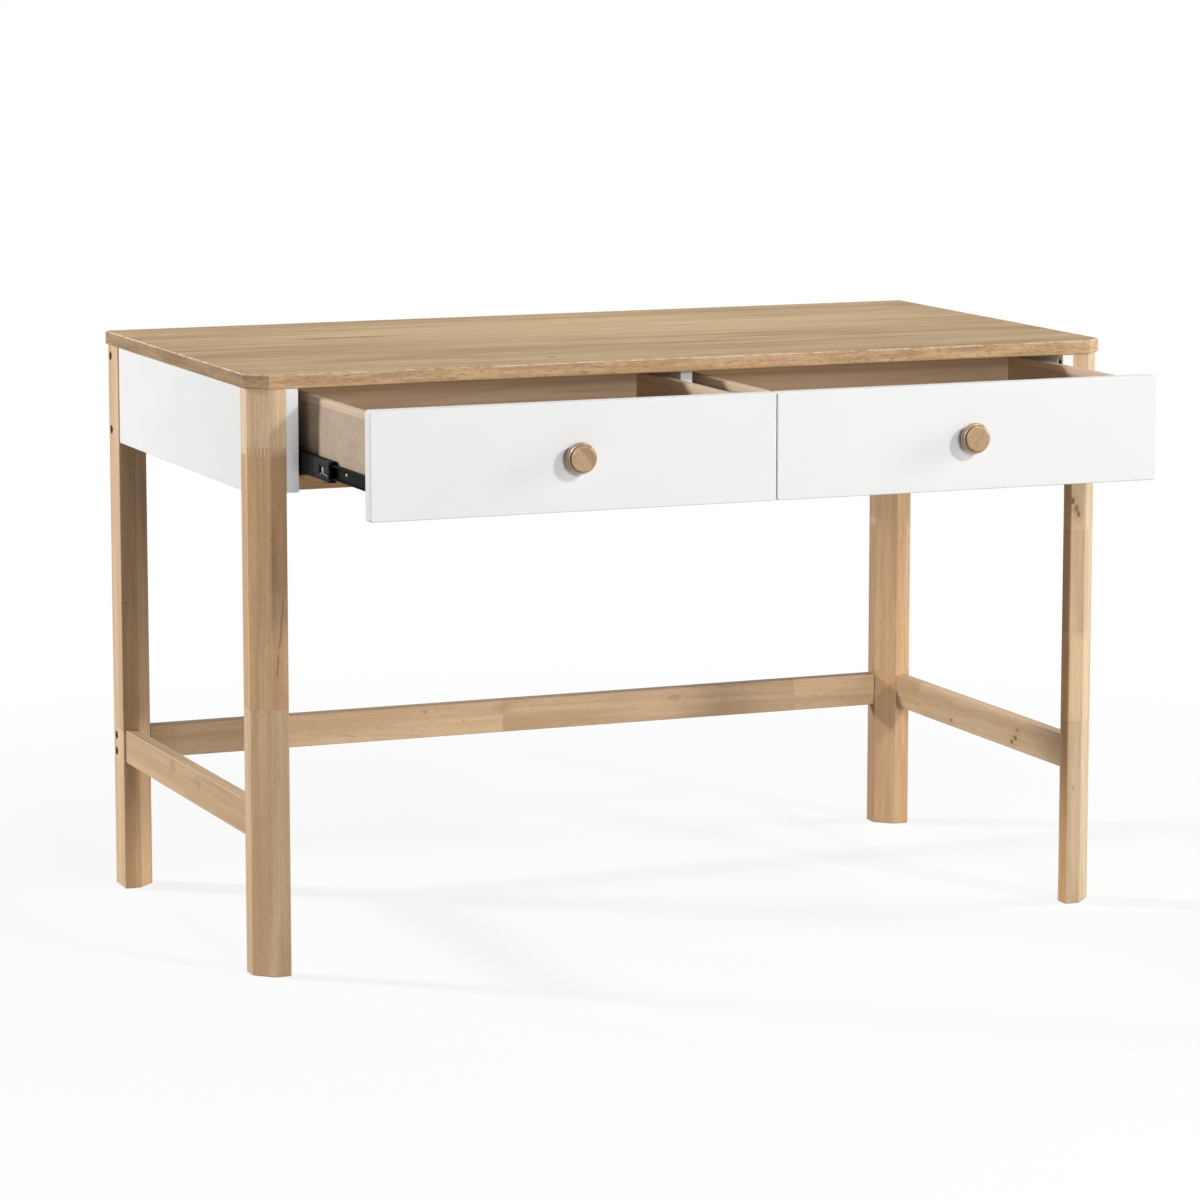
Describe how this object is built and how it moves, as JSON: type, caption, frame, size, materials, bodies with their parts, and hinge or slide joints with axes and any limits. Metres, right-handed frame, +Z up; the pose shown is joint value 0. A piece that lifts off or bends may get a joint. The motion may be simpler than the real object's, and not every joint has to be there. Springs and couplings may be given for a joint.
{
  "type": "writing desk",
  "caption": "Writing desk with cut front corners, light wood legs and stretchers, white apron panels and white drawers with turned knobs on telescopic slides.",
  "frame": {"origin": "on the floor, under the middle of the desk's box with both drawers open as stored", "axes": "+X to the right of a person who faces the front, +Y from the front to the back, +Z up"},
  "size_m": [1.194, 0.903, 0.762],
  "materials": {
    "oak_laminate": "satin wood-pattern laminate",
    "leg_wood": "clear lacquer on finger-jointed light wood",
    "white_lacquer": "satin white lacquer on board",
    "drawer_board": "matte foil on board",
    "knob_wood": "clear lacquer on turned wood",
    "slide_steel": "black electrophoretic coat",
    "black_steel": "black oxide",
    "black_plastic": "moulded",
    "zinc_steel": "yellow zinc plate"
  },
  "bodies": {
    "desk": {"tabletop": "oak_laminate", "front_rail": "oak_laminate", "front_left_leg": "leg_wood", "front_right_leg": "leg_wood", "rear_left_leg": "leg_wood", "rear_right_leg": "leg_wood", "left_stretcher": "leg_wood", "right_stretcher": "leg_wood", "rear_stretcher": "leg_wood", "left_side_panel": "white_lacquer", "right_side_panel": "white_lacquer", "left_inner_panel": "white_lacquer", "right_inner_panel": "white_lacquer", "back_panel": "white_lacquer", "centre_partition": "white_lacquer", "leg_bolts": "black_steel", "panel_bolts": "black_steel", "barrel_nuts": "zinc_steel", "panel_cams": "zinc_steel", "left_outside_slide_cabinet": "slide_steel", "left_inside_slide_cabinet": "slide_steel", "right_outside_slide_cabinet": "slide_steel", "right_inside_slide_cabinet": "slide_steel"},
    "left_drawer": {"left_drawer_front": "white_lacquer", "left_drawer_outer_side": "drawer_board", "left_drawer_inner_side": "drawer_board", "left_drawer_back": "drawer_board", "left_drawer_bottom": "drawer_board", "left_knob": "knob_wood", "left_knob_screw": "zinc_steel", "left_outside_slide_drawer": "slide_steel", "left_inside_slide_drawer": "slide_steel"},
    "left_middle_members": {"left_outside_slide_middle": "slide_steel", "left_inside_slide_middle": "slide_steel", "left_slide_bumpers": "black_plastic"},
    "left_outer_cage_pair": {"left_outer_cages": "slide_steel"},
    "left_inner_cage_pair": {"left_inner_cages": "slide_steel"},
    "right_drawer": {"right_drawer_front": "white_lacquer", "right_drawer_outer_side": "drawer_board", "right_drawer_inner_side": "drawer_board", "right_drawer_back": "drawer_board", "right_drawer_bottom": "drawer_board", "right_knob": "knob_wood", "right_knob_screw": "zinc_steel", "right_outside_slide_drawer": "slide_steel", "right_inside_slide_drawer": "slide_steel"},
    "right_middle_members": {"right_outside_slide_middle": "slide_steel", "right_inside_slide_middle": "slide_steel", "right_slide_bumpers": "black_plastic"},
    "right_outer_cage_pair": {"right_outer_cages": "slide_steel"},
    "right_inner_cage_pair": {"right_inner_cages": "slide_steel"}
  },
  "joints": [
    {"name": "left_drawer_slide", "type": "slide", "parent": "desk", "child": "left_drawer", "axis": [0, -1, 0], "range_m": [-0.26, 0.09]},
    {"name": "left_middle_members_slide", "type": "slide", "parent": "desk", "child": "left_middle_members", "axis": [0, -1, 0], "range_m": [-0.13, 0.045]},
    {"name": "left_outer_cage_pair_slide", "type": "slide", "parent": "desk", "child": "left_outer_cage_pair", "axis": [0, -1, 0], "range_m": [-0.065, 0.0225]},
    {"name": "left_inner_cage_pair_slide", "type": "slide", "parent": "desk", "child": "left_inner_cage_pair", "axis": [0, -1, 0], "range_m": [-0.195, 0.0675]},
    {"name": "right_drawer_slide", "type": "slide", "parent": "desk", "child": "right_drawer", "axis": [0, -1, 0], "range_m": [-0.26, 0.09]},
    {"name": "right_middle_members_slide", "type": "slide", "parent": "desk", "child": "right_middle_members", "axis": [0, -1, 0], "range_m": [-0.13, 0.045]},
    {"name": "right_outer_cage_pair_slide", "type": "slide", "parent": "desk", "child": "right_outer_cage_pair", "axis": [0, -1, 0], "range_m": [-0.065, 0.0225]},
    {"name": "right_inner_cage_pair_slide", "type": "slide", "parent": "desk", "child": "right_inner_cage_pair", "axis": [0, -1, 0], "range_m": [-0.195, 0.0675]}
  ],
  "couplings": [
    {"joint": "left_middle_members_slide", "follows": "left_drawer_slide", "ratio": 0.5},
    {"joint": "left_outer_cage_pair_slide", "follows": "left_drawer_slide", "ratio": 0.25},
    {"joint": "left_inner_cage_pair_slide", "follows": "left_drawer_slide", "ratio": 0.75},
    {"joint": "right_middle_members_slide", "follows": "right_drawer_slide", "ratio": 0.5},
    {"joint": "right_outer_cage_pair_slide", "follows": "right_drawer_slide", "ratio": 0.25},
    {"joint": "right_inner_cage_pair_slide", "follows": "right_drawer_slide", "ratio": 0.75}
  ]
}
